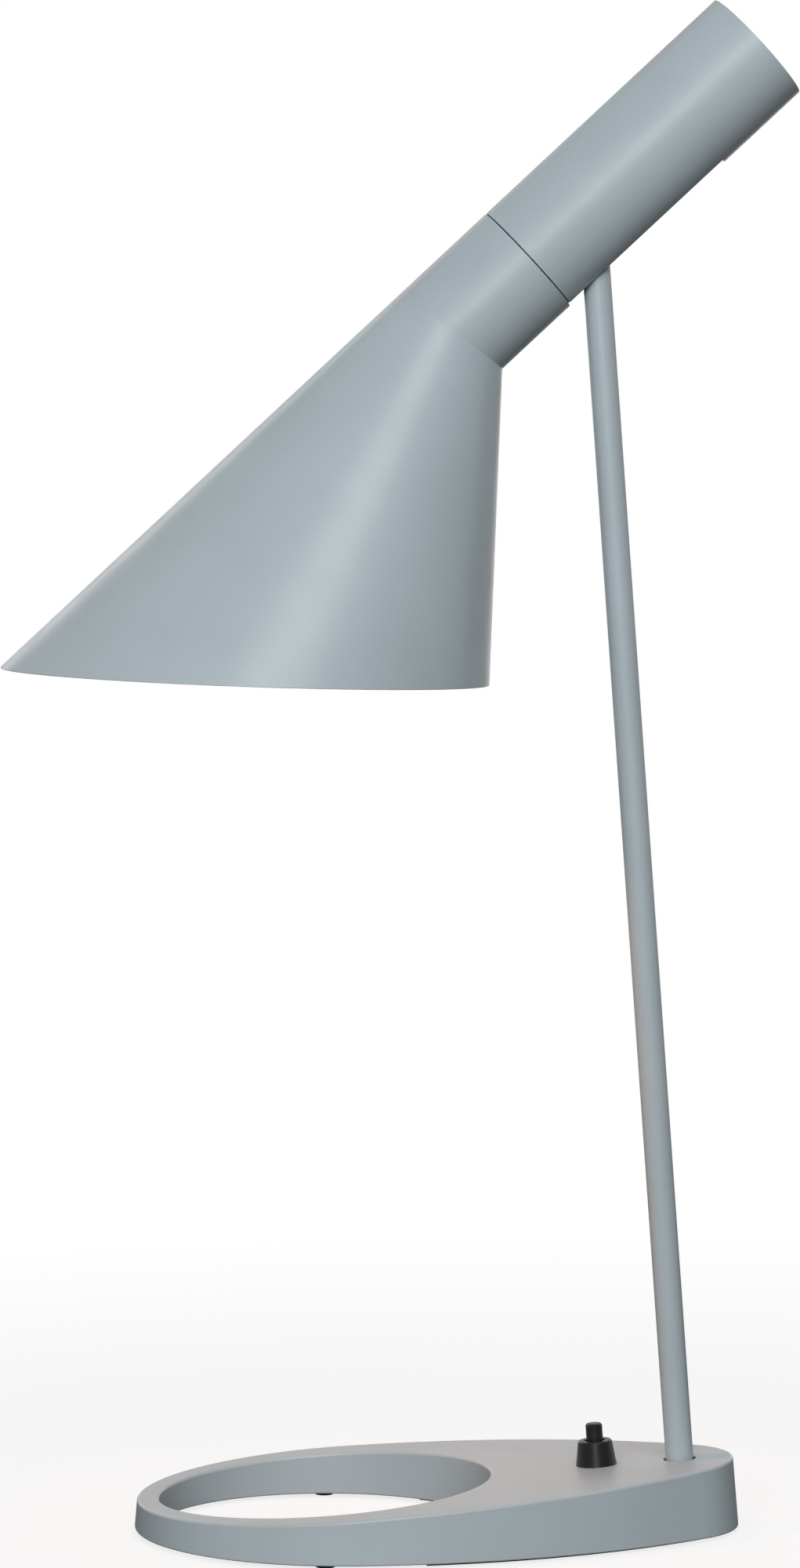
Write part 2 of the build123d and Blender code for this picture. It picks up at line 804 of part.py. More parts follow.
def switch_collar():
    collar = Cone(
        collar_radius, collar_top_radius, collar_height,
        align=(Align.CENTER, Align.CENTER, Align.MIN),
    )
    collar = fillet(collar.edges().group_by(Axis.Z)[-1], collar_edge)
    collar -= rod(bush_radius + collar_clearance, 0, collar_height)
    return deck_frame(switch_x) * collar


def switch_button():
    flange_top = -chamber_roof - button_play
    button = rod(button_radius, flange_top - button_flange_thickness, button_height)
    button = chamfer(button.edges().group_by(Axis.Z)[-1], button_chamfer)
    button += rod(button_flange_radius, flange_top - button_flange_thickness, flange_top)
    return deck_frame(switch_x) * button


def switch_spring():
    high = -chamber_roof - button_play - button_flange_thickness
    low = -deck_thickness - lock_washer_thickness - switch_body_height + switch_floor
    end = spring_wire / 2 + spring_end_gap
    height = high - low - end * 2
    path = Helix(pitch=height / spring_turns, height=height, radius=spring_radius)
    section = Plane(path @ 0, z_dir=path % 0) * Circle(spring_wire / 2)
    coil = sweep(section, path=path, is_frenet=True)
    return deck_frame(switch_x) * Pos(0, 0, low + end) * coil


def terminal_block():
    top = -deck_thickness
    body = block(block_length, block_width, top - block_height, top)
    body = fillet(body.edges().filter_by(Axis.Z), block_corner)
    for side in (-1, 1):
        body -= Pos(0, side * block_pitch / 2, top - block_height / 2) * Rot(0, 90, 0) * Cylinder(
            block_hole_radius, block_length)
        for x in (-block_length / 4, block_length / 4):
            body -= rod(
                clamp_screw_radius, top - block_height, top - block_height / 2, x=x, y=side * block_pitch / 2)
    body -= rod(block_screw_radius + thread_clearance, top - block_height, top)
    return block_frame() * body


def clamp_screws():
    radius = clamp_screw_radius - thread_clearance
    high = -deck_thickness - block_height / 2 - wire_radius - thread_clearance
    screws = []
    for side in (-1, 1):
        for x in (-block_length / 4, block_length / 4):
            screw = rod(radius, high - clamp_screw_length, high, x=x, y=side * block_pitch / 2)
            screws.append(block_frame() * screw)
    return Compound(children=screws)


def block_screw():
    low = -deck_thickness - block_height
    screw = rod(block_screw_radius, low, low + block_screw_length)
    screw += rod(block_head_radius, low - block_head_height, low)
    return block_frame() * screw


def largest_bends(points):
    """Bend radius at each corner, from the shorter of the two runs that meet there."""
    bends = []
    for before, corner, after in zip(points, points[1:], points[2:]):
        run_in = corner - before
        run_out = after - corner
        shorter = min(run_in.length, run_out.length, wire_longest_bend)
        bends.append(wire_bend_share * shorter / tan(radians(run_in.get_angle(run_out) / 2)))
    return bends


def wire(points):
    """Round wire along straight runs joined by tangent arcs."""
    corners = [Vector(*point) if isinstance(point, tuple) else point for point in points]
    bends = largest_bends(corners)
    path = FilletPolyline(*corners, radius=bends) if bends else Line(*corners)
    return sweep(Plane(path @ 0, z_dir=path % 0) * Circle(wire_radius), path=path)


def in_stem(y, height):
    """Point beside the stem's axis, at a distance along it from the desk."""
    return desk_frame.from_local_coords(Vector(0, y, height))


def in_head(x, y, z):
    """Point in the head's frame."""
    return head_frame.from_local_coords(Vector(x, y, z))


def block_wire_end(side, reach):
    """Point on a terminal hole's axis, at a reach behind the block's rear face."""
    return block_frame().from_local_coords(
        Vector(block_length / 2 + reach, side * block_pitch / 2, -deck_thickness - block_height / 2))


def tag_edge(side, edge, reach):
    """Point at mid-height of a switch tag, at a reach from its front or rear edge."""
    low = -deck_thickness - lock_washer_thickness - switch_body_height
    return deck_frame(switch_x).from_local_coords(
        Vector(edge * (tag_width / 2 + reach), side * tag_spacing / 2, low - tag_length / 2))


def neutral_lead():
    return wire([
        block_wire_end(-1, -wire_insertion),
        block_wire_end(-1, lead_exit),
        (switch_x / 3, wire_offset * 2.5, wire_height),
        in_stem(wire_offset, wire_height),
        in_stem(wire_offset, stem_top),
    ])


def live_lead():
    return wire([
        tag_edge(-1, 1, wire_joint_gap),
        tag_edge(-1, 1, tag_exit),
        (switch_x / 2, -wire_offset, wire_height),
        in_stem(-wire_offset, wire_height),
        in_stem(-wire_offset, stem_top),
    ])


def switch_lead():
    return wire([
        block_wire_end(1, -wire_insertion),
        block_wire_end(1, lead_exit),
        tag_edge(1, 1, switch_loop) + Vector(0, switch_loop_width, switch_loop_rise),
        tag_edge(1, 1, switch_loop_return),
        tag_edge(1, 1, wire_joint_gap),
    ])


def nipple_rear_z():
    return seam_z - holder_plate_gap + nipple_nut_height + nipple_overrun


def pivot_leads():
    leads = []
    for side in (-1, 1):
        start = in_stem(side * wire_offset, stem_top)
        fold = in_stem(side * wire_offset, stem_top + wire_fold)
        local = head_frame.to_local_coords(fold)
        leads.append(wire([
            start,
            fold,
            in_head(local.X + holder_wire_rise, local.Y, local.Z - holder_wire_forward),
            in_head(0, local.Y, nipple_rear_z() + wire_joint_gap),
        ]))
    return Compound(children=leads)


def head_leads():
    leads = []
    for side in (-1, 1):
        heights = (nipple_rear_z(), holder_joint_z + holder_wire_insertion)
        ends = [in_head(0, side * wire_offset, z) for z in heights]
        leads.append(wire(ends))
    return Compound(children=leads)


os.makedirs("parts", exist_ok=True)
makers = {
    "base_casting": base_casting, "bottom_plate": bottom_plate, "plate_screws": plate_screws,
    "ring_feet": ring_feet, "cable_inlet_bush": cable_inlet_bush, "stem_tube": stem_tube,
    "stem_foot": stem_foot, "stem_ring_nut": stem_ring_nut, "stem_eye": stem_eye,
    "pivot_bolt": pivot_bolt, "pivot_nut": pivot_nut, "wave_washer": wave_washer,
    "friction_washers": friction_washers, "pivot_bracket": pivot_bracket,
    "bracket_rivets": bracket_rivets, "head_sleeve": head_sleeve, "shade": shade,
    "rear_tube": rear_tube, "end_cap": vented_cap, "tie_screw": tie_screw,
    "holder_plate": holder_plate, "holder_nipple": holder_nipple, "nipple_nut": nipple_nut,
    "holder_body": holder_body, "holder_skirt": holder_skirt, "holder_core": holder_core,
    "centre_contact": centre_contact, "screw_shell": screw_shell, "lamp_cap": lamp_cap,
    "lamp_glass": lamp_glass, "switch_body": switch_body, "switch_tags": switch_tags,
    "switch_lock_washer": switch_lock_washer, "switch_collar": switch_collar,
    "switch_button": switch_button, "switch_spring": switch_spring,
    "terminal_block": terminal_block, "clamp_screws": clamp_screws, "block_screw": block_screw,
    "neutral_lead": neutral_lead, "live_lead": live_lead, "switch_lead": switch_lead,
    "pivot_leads": pivot_leads, "head_leads": head_leads,
}
for node, make in makers.items():
    save(make(), node)
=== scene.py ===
"""Desk lamp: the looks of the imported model, with a pale studio and the camera.

All sizes are in metres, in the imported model's frame: +X to the rear of the base, +Z up,
and the desk at z = 0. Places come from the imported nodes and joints.
"""
import json
from math import asin, cos, pi, radians, sin, sqrt, tan

import bmesh
import bpy
from mathutils import Matrix, Vector

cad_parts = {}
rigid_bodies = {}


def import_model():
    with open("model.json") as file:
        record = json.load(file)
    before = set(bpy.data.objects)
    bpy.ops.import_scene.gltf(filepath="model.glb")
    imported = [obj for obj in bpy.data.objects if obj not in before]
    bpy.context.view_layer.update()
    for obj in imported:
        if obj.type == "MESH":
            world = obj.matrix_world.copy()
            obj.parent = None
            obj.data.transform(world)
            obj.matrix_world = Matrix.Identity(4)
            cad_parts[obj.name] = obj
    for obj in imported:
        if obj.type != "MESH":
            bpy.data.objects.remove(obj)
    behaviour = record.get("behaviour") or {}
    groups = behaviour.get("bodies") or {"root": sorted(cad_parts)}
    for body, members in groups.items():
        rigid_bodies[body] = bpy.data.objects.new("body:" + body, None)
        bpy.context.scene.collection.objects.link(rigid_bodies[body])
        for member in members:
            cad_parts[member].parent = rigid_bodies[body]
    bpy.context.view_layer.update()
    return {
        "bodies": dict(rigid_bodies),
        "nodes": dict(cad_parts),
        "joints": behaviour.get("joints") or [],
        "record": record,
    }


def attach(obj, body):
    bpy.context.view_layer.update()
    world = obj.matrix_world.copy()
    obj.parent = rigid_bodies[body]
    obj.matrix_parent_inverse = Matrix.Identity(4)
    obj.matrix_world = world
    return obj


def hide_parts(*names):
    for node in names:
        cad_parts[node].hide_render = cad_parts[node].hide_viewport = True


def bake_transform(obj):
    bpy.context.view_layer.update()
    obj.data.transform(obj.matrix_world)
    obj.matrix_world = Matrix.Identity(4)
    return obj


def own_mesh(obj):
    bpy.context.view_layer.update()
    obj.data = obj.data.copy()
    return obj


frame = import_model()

nodes = frame["nodes"]
joints = {joint["name"]: joint for joint in frame["joints"]}
MM = 0.001

# Driving sizes that the nodes' boxes don't give
HEAD_ANGLE = radians(42.9)          # tube's axis above the horizontal
CONE_HALF_ANGLE = radians(22.4)
APEX_TO_SEAM = 11.7 * MM            # cone's apex behind the seam, on the top line
RIM_ANGLE = radians(45.0)           # rim plane to the tube's axis
SHADE_WALL = 0.8 * MM
SHADE_EDGE = 0.22 * MM              # rounding of the rim and the seam edge
CREASE_OUTSIDE = 0.5 * MM           # rounding where neck and cone meet
CREASE_INSIDE = 0.3 * MM
SLOT_WIDTH = 13.0 * MM
SLOT_LENGTH = 75.5 * MM
SLOT_CORNER = 1.0 * MM
SLOT_BAND = 3.0 * MM                # ring of faces above the slot's end
TUBE_BEVEL = 0.15 * MM
STEM_BEVEL = 0.25 * MM
STEM_HOLE_RADIUS = 6.0 * MM
STEM_HOLE_SHADE_DEPTH = 0.5 * MM          # depth under the deck where the painted shade in the stem's hole begins
COLLAR_TAPER = 1.25 / 9.0           # collar's radius lost per height
COLLAR_CHAMFER = 0.4 * MM
COLLAR_BEVEL = 0.12 * MM
COLLAR_MOUTH = 3.75 * MM            # mouth round the button
COLLAR_LEDGE = 0.3 * MM             # ring's underside above the switch's bush
SPRING_TURNS = 5
WIRE_RADIUS = 0.9 * MM
WIRE_OFFSET = 2.6 * MM              # each side of the middle plane
WIRE_FOLD = 3.9 * MM                # leads' straight run out of the stem
WIRE_RISE = 8.0 * MM                # leads' rise over the pivot
WIRE_FORWARD = 4.0 * MM             # and that rise's step towards the shade

# How finely the round forms are divided
SHADE_COLUMNS = 288
SHADE_EDGE_STEPS = 3
TUBE_COLUMNS = 180
SLOT_CORNER_STEPS = 5
SLOT_END_STEPS = 8
LATHE_STEPS = 96
COIL_STEPS = 24                     # per turn
COIL_SIDES = 8
WIRE_SIDES = 12
BEND_STEPS = 12                     # of the floor's curve into the backdrop

# Paint colours
BLUE_GREY = (0.395, 0.475, 0.518)
CASTING_SHADE = 1.04                # casting's tone to the steel's
# painted shade: near-black colour put inside the stem's hole, where the gap round the stem lies in
# shade
BORE_SHADE_COLOUR = (0.02, 0.021, 0.022)
INSIDE_WHITE = (0.80, 0.80, 0.78)

# Studio. Further from the lamp the floor turns into an even glow, over one reach where it is
# seen and over another where it is mirrored.
FLOOR_WHITE = (0.97, 0.97, 0.97)    # colour where the floor is seen
FLOOR_BOUNCE = (0.14, 0.136, 0.132)     # colour of the light that it throws back
FLOOR_LIFT = 0.8                    # share of glow that the seen floor has at the lamp
SEEN_REACH = (0.28, 0.75)
MIRRORED_REACH = (0.8, 2.5)
BACKDROP_TINT = (0.68, 0.658, 0.641)    # glow where the floor and backdrop are mirrored
FLOOR_HALF_WIDTH, FLOOR_FRONT, FLOOR_BACK = 6.0, -4.0, 3.0
BACKDROP_BEND, BACKDROP_TOP = 1.5, 5.0
WORLD_FRONT = 0.07                  # surroundings' level before the lamp
WORLD_BACK = 0.3                    # and behind it
WORLD_WHITE = 1.0                   # and where they are seen, or mirrored from behind the lamp
WORLD_TURN = (-0.3, 0.5)            # direction's y over which the front's level becomes the back's

# Lights: name, place, (width, height), watts, tint, and whether surfaces mirror it
LIGHT_TARGET = (-0.1, 0, 0.3)
WHITE = (1, 1, 1)
FRONT_TINT = (1.0, 0.965, 0.945)
LIGHTS = [
    ("key", (0.35, -2.0, 1.97), (1.2, 1.2), 25, WHITE, True),
    ("front", (-1.0, -2.2, 0.9), (0.9, 1.1), 20.5, FRONT_TINT, False),
    ("shine", (-0.2, -2.4, 1.0), (0.6, 1.3), 15, FRONT_TINT, True),
    ("back", (0.15, 2.4, 0.6), (2.4, 1.1), 26, WHITE, False),
    ("rim_left", (-0.95, 2.3, 0.9), (0.4, 1.4), 3, WHITE, True),
    ("rim_right", (0.6, 2.3, 0.3), (0.4, 1.4), 2.5, WHITE, True),
]
SPILL_PLACE = (-0.135, 0, 0.294)
SPILL_AIM = (-0.07, 0, 0.03)
SPILL_WIDTH = 40 * MM
SPILL_SPREAD = radians(105)
SPILL_POWER = 0.09
SPILL_COLOUR = (1.0, 0.42, 0.22)

CAMERA_PLACE = (-0.1374, -2.0413, 0.4016)
CAMERA_DROP = 3.679                 # degrees below the horizontal
CAMERA_TURN = -0.961                # degrees about +Z, from looking along +Y
CAMERA_LENS = 130.8
CAMERA_SENSOR = 36


# ---------------------------------------------------------------- measures and frames

def corners(node):
    """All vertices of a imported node."""
    return [v.co for v in nodes[node].data.vertices]


def span(node, origin, axis):
    """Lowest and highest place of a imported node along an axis."""
    steps = [(p - origin).dot(axis) for p in corners(node)]
    return min(steps), max(steps)


def girth(node, origin, axis):
    """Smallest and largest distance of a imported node's vertices from an axis."""
    away = [((p - origin) - axis * (p - origin).dot(axis)).length for p in corners(node)]
    return min(away), max(away)


def basis(origin, x_axis, z_axis):
    """4x4 matrix of a right-handed frame."""
    z_axis = z_axis.normalized()
    x_axis = (x_axis - z_axis * x_axis.dot(z_axis)).normalized()
    y_axis = z_axis.cross(x_axis)
    matrix = Matrix((x_axis, y_axis, z_axis)).transposed().to_4x4()
    matrix.translation = origin
    return matrix


pivot = Vector(joints["head_tilt"]["pos_m"])
head_axis = Vector((cos(HEAD_ANGLE), 0, sin(HEAD_ANGLE)))
head = basis(pivot, Vector((-sin(HEAD_ANGLE), 0, cos(HEAD_ANGLE))), head_axis)
stem = basis(Vector((0, 0, 0)), Vector((1, 0, 0)), pivot)
stem_axis = pivot.normalized()
deck_point = Vector(joints["button_press"]["pos_m"])
deck_axis = Vector(joints["button_press"]["axis"]).normalized()
switch = basis(deck_point, Vector((1, 0, 0)), deck_axis)


def deck_z(x):
    """Height of the sloping top face."""
    return deck_point.z - (x - deck_point.x) * deck_axis.x / deck_axis.z


# ---------------------------------------------------------------- mesh building

def rounded(points, radii, steps):
    """Open line of points with its inner corners rounded by arcs of the given radii."""
    line = [points[0]]
    for before, corner, after, radius in zip(points, points[1:], points[2:], radii):
        one = (before - corner).normalized()
        two = (after - corner).normalized()
        half = one.angle(two) / 2
        centre = corner + (one + two).normalized() * radius / sin(half)
        start = corner + one * radius / tan(half) - centre
        end = corner + two * radius / tan(half) - centre
        for i in range(steps + 1):
            line.append(centre + start.slerp(end, i / steps, start).normalized() * radius)
    line.append(points[-1])
    return line


def loft(mesh, loops, closed=True, wrap=False):
    """Quads between loops of equal length. Returns the loops as mesh vertices."""
    made = [[mesh.verts.new(p) for p in loop] for loop in loops]
    pairs = list(zip(made, made[1:]))
    if wrap:
        pairs.append((made[-1], made[0]))
    count = len(made[0])
    for low, high in pairs:
        for i in range(count if closed else count - 1):
            j = (i + 1) % count
            mesh.faces.new((low[i], low[j], high[j], high[i]))
    return made


def piece(name, mesh, body, materials, replaced, bevel=0.0, sharp=radians(35)):
    """Object from a bmesh, with smooth faces and crisp edges, on its body and in place of the
    nodes that it replaces.
    """
    bmesh.ops.recalc_face_normals(mesh, faces=mesh.faces)
    for face in mesh.faces:
        face.smooth = True
    for edge in mesh.edges:
        edge.smooth = len(edge.link_faces) != 2 or edge.calc_face_angle(0) < sharp
    data = bpy.data.meshes.new(name)
    mesh.to_mesh(data)
    mesh.free()
    obj = bpy.data.objects.new(name, data)
    bpy.context.scene.collection.objects.link(obj)
    for material in materials:
        data.materials.append(material)
    if bevel:
        edge_round = obj.modifiers.new("edges", "BEVEL")
        edge_round.width = bevel
        edge_round.segments = 3
        edge_round.limit_method = "ANGLE"
        edge_round.angle_limit = sharp
        edge_round.use_clamp_overlap = True
        edge_round.harden_normals = True
    else:
        weights = obj.modifiers.new("flats", "WEIGHTED_NORMAL")
        weights.keep_sharp = True
    if body:
        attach(obj, body)
    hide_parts(*replaced)
    return obj


def lathe(name, place, profile, body, slot, replaced, bevel):
    """Turned ring: a closed profile of (radius, height) points about a frame's z."""
    mesh = bmesh.new()
    turns = [2 * pi * i / LATHE_STEPS for i in range(LATHE_STEPS)]
    loops = []
    for radius, height in profile:
        loops.append([place @ Vector((radius * cos(a), radius * sin(a), height)) for a in turns])
    loft(mesh, loops, wrap=True)
    return piece(name, mesh, body, [finishes[slot]], replaced, bevel)


# ---------------------------------------------------------------- materials

class Finish:
    """One material: a Principled shader with nodes added from code."""

    def __init__(self, name):
        self.material = bpy.data.materials.new(name)
        self.material.use_nodes = True
        self.tree = self.material.node_tree
        self.shader = self.tree.nodes["Principled BSDF"]
        self.place = self.add("ShaderNodeTexCoord").outputs["Object"]

    def add(self, kind, **settings):
        node = self.tree.nodes.new(kind)
        for key, value in settings.items():
            setattr(node, key, value)
        return node

    def join(self, source, target):
        self.tree.links.new(source, target)

    def noise(self, scale, detail, roughness=0.5, stretch=(1, 1, 1)):
        """Grey noise of a size in metres, stretched along an axis if wanted."""
        mapping = self.add("ShaderNodeMapping")
        mapping.inputs["Scale"].default_value = stretch
        texture = self.add("ShaderNodeTexNoise")
        texture.inputs["Scale"].default_value = 1 / scale
        texture.inputs["Detail"].default_value = detail
        texture.inputs["Roughness"].default_value = roughness
        self.join(self.place, mapping.inputs["Vector"])
        self.join(mapping.outputs["Vector"], texture.inputs["Vector"])
        return texture.outputs["Fac"]

    def spread(self, source, low, high, from_low=0.3, from_high=0.7):
        """Source mapped from its useful range onto low..high."""
        node = self.add("ShaderNodeMapRange")
        node.inputs["From Min"].default_value = from_low
        node.inputs["From Max"].default_value = from_high
        node.inputs["To Min"].default_value = low
        node.inputs["To Max"].default_value = high
        self.join(source, node.inputs["Value"])
        return node.outputs["Result"]

    def blend(self, factor, first, second):
        """Colour between two colours or sockets."""
        node = self.add("ShaderNodeMix", data_type="RGBA")
        self.join(factor, node.inputs["Factor"])
        for key, value in (("A", first), ("B", second)):
            socket = [s for s in node.inputs if s.name == key and s.type == "RGBA"][0]
            if isinstance(value, tuple):
                socket.default_value = (*value, 1)
            else:
                self.join(value, socket)
        return [s for s in node.outputs if s.type == "RGBA"][0]

    def edges(self, width):
        """Mask that is 1 on worn edges, from how far a rounded normal leaves the true one."""
        worn, flat = 0.86, 0.995        # cosines of the angle between the two normals
        bevel = self.add("ShaderNodeBevel", samples=4)
        bevel.inputs["Radius"].default_value = width
        true = self.add("ShaderNodeNewGeometry")
        product = self.add("ShaderNodeVectorMath", operation="DOT_PRODUCT")
        self.join(bevel.outputs["Normal"], product.inputs[0])
        self.join(true.outputs["Normal"], product.inputs[1])
        return self.spread(product.outputs["Value"], 1, 0, worn, flat)

    def bore_shade_mask(self, place, radius, depth):
        """Mask for painted shade: 1 within a bore about a frame's z, from a depth under its
        origin.
        """
        wider, deeper = 1.02, 1.5       # where the mask's soft borders end
        axis = place.to_3x3() @ Vector((0, 0, 1))
        away = self.add("ShaderNodeVectorMath", operation="SUBTRACT")
        away.inputs[1].default_value = place.translation
        self.join(self.place, away.inputs[0])
        across = self.add("ShaderNodeVectorMath", operation="CROSS_PRODUCT")
        across.inputs[1].default_value = axis
        self.join(away.outputs["Vector"], across.inputs[0])
        reach = self.add("ShaderNodeVectorMath", operation="LENGTH")
        self.join(across.outputs["Vector"], reach.inputs[0])
        height = self.add("ShaderNodeVectorMath", operation="DOT_PRODUCT")
        height.inputs[1].default_value = axis
        self.join(away.outputs["Vector"], height.inputs[0])
        near = self.spread(reach.outputs["Value"], 1, 0, radius, radius * wider)
        low = self.spread(height.outputs["Value"], 1, 0, -depth * deeper, -depth)
        return self.product(near, low)

    def product(self, first, second):
        node = self.add("ShaderNodeMath", operation="MULTIPLY")
        self.join(first, node.inputs[0])
        self.join(second, node.inputs[1])
        return node.outputs["Value"]

    def set(self, **values):
        for key, value in values.items():
            self.shader.inputs[key.replace("_", " ")].default_value = value
        return self

    def rough(self, source, low, high):
        """Roughness between two values."""
        self.join(self.spread(source, low, high), self.shader.inputs["Roughness"])

    def bump(self, *layers):
        """Bump from (height, depth in metres) layers, one on the other."""
        before = None
        for height, depth in layers:
            node = self.add("ShaderNodeBump")
            node.inputs["Strength"].default_value = 1.0
            node.inputs["Distance"].default_value = depth
            self.join(height, node.inputs["Height"])
            if before:
                self.join(before, node.inputs["Normal"])
            before = node.outputs["Normal"]
        self.join(before, self.shader.inputs["Normal"])


def shift(colour, factor):
    return tuple(min(1.0, c * factor) for c in colour)


def paint(name, colour, roughness, peel, wear=0.35, bore=None):
    """Sprayed paint: fine orange peel, slight clouds of tone, and edges rubbed paler.

    A bore is (frame, radius, depth): from that depth under the frame's origin the colour turns
    dark, a painted shade in the hole.
    """
    f = Finish(name).set(Coat_Weight=0.25, Coat_Roughness=0.25)
    clouds = f.noise(45 * MM, 3.0)
    grains = f.noise(0.9 * MM, 2.0)
    tone = f.blend(f.spread(clouds, 0, 1), shift(colour, 0.965), shift(colour, 1.035))
    tone = f.blend(f.spread(grains, 0, 0.25, 0.35, 0.75), tone, shift(colour, 0.93))
    rubbed = f.product(f.edges(0.5 * MM), f.spread(f.noise(3 * MM, 4.0), 0, wear, 0.4, 0.65))
    tone = f.blend(rubbed, tone, shift(colour, 1.35))
    if bore:
        # painted shade: the colour turns near-black inside the bore
        tone = f.blend(f.bore_shade_mask(*bore), tone, BORE_SHADE_COLOUR)
    f.join(tone, f.shader.inputs["Base Color"])
    f.rough(f.noise(12 * MM, 4.0), roughness - 0.03, roughness + 0.04)
    f.bump((f.noise(1.1 * MM, 1.0), peel), (f.noise(0.28 * MM, 2.0), peel * 0.25))
    return f.material


def moulding(name, colour, roughness, grain=0.004 * MM):
    """Moulded plastic or rubber with a fine grain."""
    f = Finish(name)
    tone = f.blend(f.spread(f.noise(9 * MM, 3.0), 0, 1), shift(colour, 0.9), shift(colour, 1.1))
    rubbed = f.product(f.edges(0.35 * MM), f.spread(f.noise(1.5 * MM, 3.0), 0, 0.3, 0.4, 0.65))
    paler = tuple(c + (0.35 - c) * 0.3 for c in colour)
    f.join(f.blend(rubbed, tone, paler), f.shader.inputs["Base Color"])
    f.rough(f.noise(4 * MM, 3.0), roughness - 0.05, roughness + 0.06)
    f.bump((f.noise(0.35 * MM, 2.0), grain))
    return f.material


def metal(name, colour, roughness, stretch=(1, 1, 1)):
    """Bare or plated metal with fine tool marks and duller clouds."""
    f = Finish(name).set(Metallic=1.0)
    tone = f.blend(f.spread(f.noise(6 * MM, 4.0), 0, 1), shift(colour, 0.86), shift(colour, 1.05))
    marks = f.noise(0.25 * MM, 3.0, 0.6, stretch)
    tone = f.blend(f.spread(marks, 0, 0.3), tone, shift(colour, 0.8))
    f.join(tone, f.shader.inputs["Base Color"])
    f.rough(marks, roughness - 0.06, roughness + 0.1)
    f.bump((marks, 0.003 * MM))
    return f.material


def opal_glass(name):
    """Flashed opal glass: white, softly translucent, with a smooth skin."""
    f = Finish(name).set(Roughness=0.22, IOR=1.5, Subsurface_Weight=0.35, Subsurface_Scale=0.004)
    f.shader.inputs["Subsurface Radius"].default_value = (1.0, 0.95, 0.9)
    tone = f.blend(f.spread(f.noise(14 * MM, 2.0), 0, 1), (0.86, 0.85, 0.82), (0.92, 0.91, 0.89))
    f.join(tone, f.shader.inputs["Base Color"])
    f.bump((f.noise(6 * MM, 1.0), 0.01 * MM))
    return f.material


# where the casting's colour is darkened to a painted shade inside the stem's hole
stem_mouth = stem_axis * deck_z(0) / stem_axis.z
stem_hole_shade = (basis(stem_mouth, Vector((1, 0, 0)), stem_axis), STEM_HOLE_RADIUS, STEM_HOLE_SHADE_DEPTH)
finishes = {
    "painted_steel": paint("painted_steel", BLUE_GREY, 0.45, 0.008 * MM),
    "painted_casting": paint("painted_casting", shift(BLUE_GREY, CASTING_SHADE), 0.48, 0.01 * MM,
                             wear=0.45, bore=stem_hole_shade),
    "black_plate": paint("black_plate", (0.018, 0.018, 0.019), 0.5, 0.02 * MM),
    "zinc_steel": metal("zinc_steel", (0.60, 0.60, 0.58), 0.32),
    "aluminium": metal("aluminium", (0.74, 0.74, 0.75), 0.34, (0.15, 1, 1)),
    "nylon": moulding("nylon", (0.78, 0.77, 0.72), 0.45),
    "black_plastic": moulding("black_plastic", (0.013, 0.013, 0.014), 0.33, 0.002 * MM),
    "rubber": moulding("rubber", (0.025, 0.025, 0.026), 0.75, 0.01 * MM),
    "ceramic": moulding("ceramic", (0.80, 0.79, 0.75), 0.6, 0.006 * MM),
    "brass": metal("brass", (0.70, 0.53, 0.27), 0.28),
    "opal_glass": opal_glass("opal_glass"),
    "brown_wire": moulding("brown_wire", (0.20, 0.10, 0.05), 0.4, 0.002 * MM),
    "blue_wire": moulding("blue_wire", (0.05, 0.15, 0.40), 0.4, 0.002 * MM),
    "lead_wire": moulding("lead_wire", (0.74, 0.73, 0.69), 0.5, 0.004 * MM),
}
inside_white = paint("inside_white", INSIDE_WHITE, 0.48, 0.012 * MM)

slots = {part["node"]: part["material_slot"] for part in frame["record"]["subparts"]}
for node, obj in nodes.items():
    obj.data.materials.clear()
    obj.data.materials.append(finishes[slots[node]])
# painted shade: the sleeve gets the black finish so that the thin seam reads as a shaded gap
nodes["head_sleeve"].data.materials[0] = finishes["black_plate"]    # dark in the head's seam


# ---------------------------------------------------------------- head

tube_bore, head_radius = girth("rear_tube", pivot, head_axis)
tube_low, tube_high = span("rear_tube", pivot, head_axis)
tip_z, seam_z = span("shade", pivot, head_axis)


def shade_line(turn, radius, apex_z):
    """Seam, crease and rim points of one straight-ruled column of the shade."""
    top_z = apex_z - radius / tan(CONE_HALF_ANGLE)
    x, y = radius * cos(turn), radius * sin(turn)
    crease = Vector((x, y, top_z + (radius - x) * tan(CONE_HALF_ANGLE) / 2))
    apex = Vector((radius, 0, apex_z))
    ray = (crease - apex).normalized()
    rim_axis = Vector((cos(RIM_ANGLE), 0, sin(RIM_ANGLE)))
    tip = Vector((head_radius, 0, tip_z))
    rim = apex + ray * (tip - apex).dot(rim_axis) / ray.dot(rim_axis)
    return Vector((x, y, seam_z)), crease, rim


